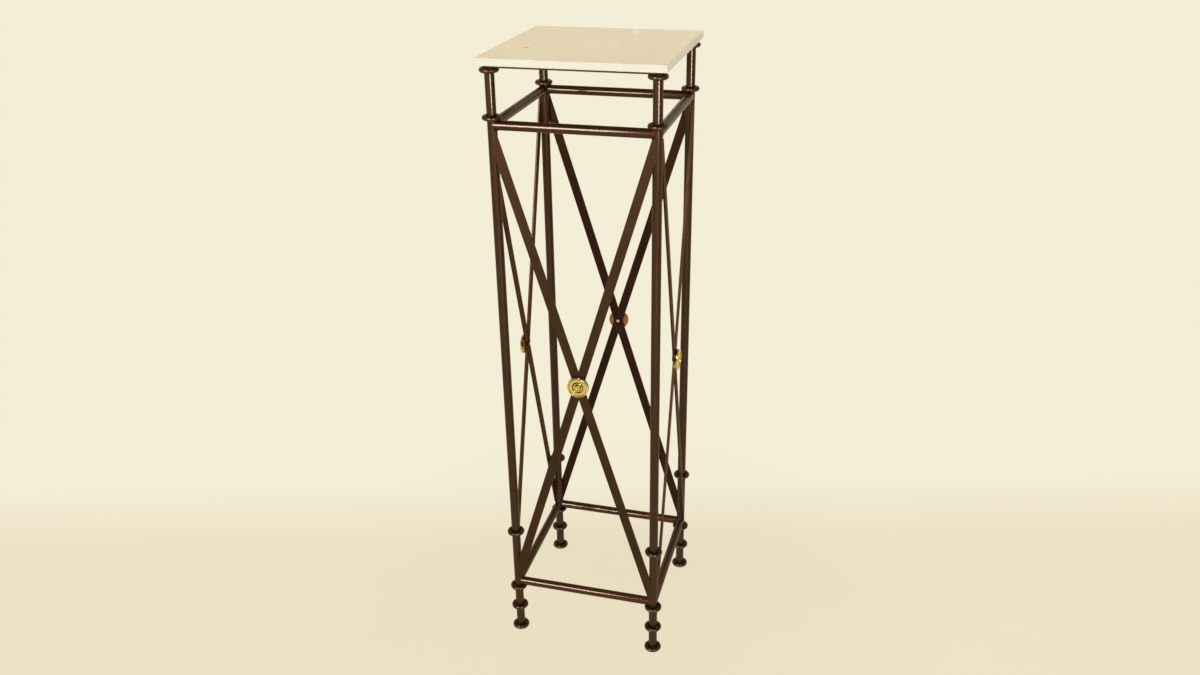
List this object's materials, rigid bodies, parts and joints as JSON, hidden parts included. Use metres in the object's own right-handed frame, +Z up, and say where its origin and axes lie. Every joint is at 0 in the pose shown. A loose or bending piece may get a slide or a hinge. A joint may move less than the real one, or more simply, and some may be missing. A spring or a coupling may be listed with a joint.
{
  "type": "torchere stand",
  "caption": "Tall square open pedestal of round iron bar with ring collars, flat X braces and brass rosettes on each side, carrying a loose square marble top.",
  "frame": {"origin": "on the floor under the middle of the stand", "axes": "+Z up along the legs, +X to the right along the front rail, +Y to the back"},
  "size_m": [0.305, 0.305, 1.127],
  "materials": {
    "iron": "dark brown bronze enamel, semi-gloss",
    "screw_iron": "dark brown bronze enamel, semi-gloss",
    "brass": "polished",
    "marble": "polished",
    "soft_dots": "clear soft plastic",
    "felt": "felt"
  },
  "bodies": {
    "stand": {"top_bumpers": "soft_dots", "foot_pads": "felt", "rosette_screws": "screw_iron", "leg_front_left": "iron", "foot_ring_front_left": "iron", "ankle_ring_front_left": "iron", "lower_ring_front_left": "iron", "knee_ring_front_left": "iron", "upper_ring_front_left": "iron", "cap_ring_front_left": "iron", "leg_front_right": "iron", "foot_ring_front_right": "iron", "ankle_ring_front_right": "iron", "lower_ring_front_right": "iron", "knee_ring_front_right": "iron", "upper_ring_front_right": "iron", "cap_ring_front_right": "iron", "leg_back_right": "iron", "foot_ring_back_right": "iron", "ankle_ring_back_right": "iron", "lower_ring_back_right": "iron", "knee_ring_back_right": "iron", "upper_ring_back_right": "iron", "cap_ring_back_right": "iron", "leg_back_left": "iron", "foot_ring_back_left": "iron", "ankle_ring_back_left": "iron", "lower_ring_back_left": "iron", "knee_ring_back_left": "iron", "upper_ring_back_left": "iron", "cap_ring_back_left": "iron", "lower_rail_front": "iron", "upper_rail_front": "iron", "brace_through_front": "iron", "brace_half_upper_front": "iron", "brace_half_lower_front": "iron", "top_bar_front": "iron", "rosette_front": "brass", "lower_rail_right": "iron", "upper_rail_right": "iron", "brace_through_right": "iron", "brace_half_upper_right": "iron", "brace_half_lower_right": "iron", "top_bar_right": "iron", "rosette_right": "brass", "lower_rail_back": "iron", "upper_rail_back": "iron", "brace_through_back": "iron", "brace_half_upper_back": "iron", "brace_half_lower_back": "iron", "top_bar_back": "iron", "rosette_back": "brass", "lower_rail_left": "iron", "upper_rail_left": "iron", "brace_through_left": "iron", "brace_half_upper_left": "iron", "brace_half_lower_left": "iron", "top_bar_left": "iron", "rosette_left": "brass"},
    "top": {"marble_top": "marble"}
  },
  "joints": [
    {"name": "top_lift", "type": "slide", "parent": "stand", "child": "top", "axis": [0, 0, 1], "range_m": [0, 0.12]}
  ]
}
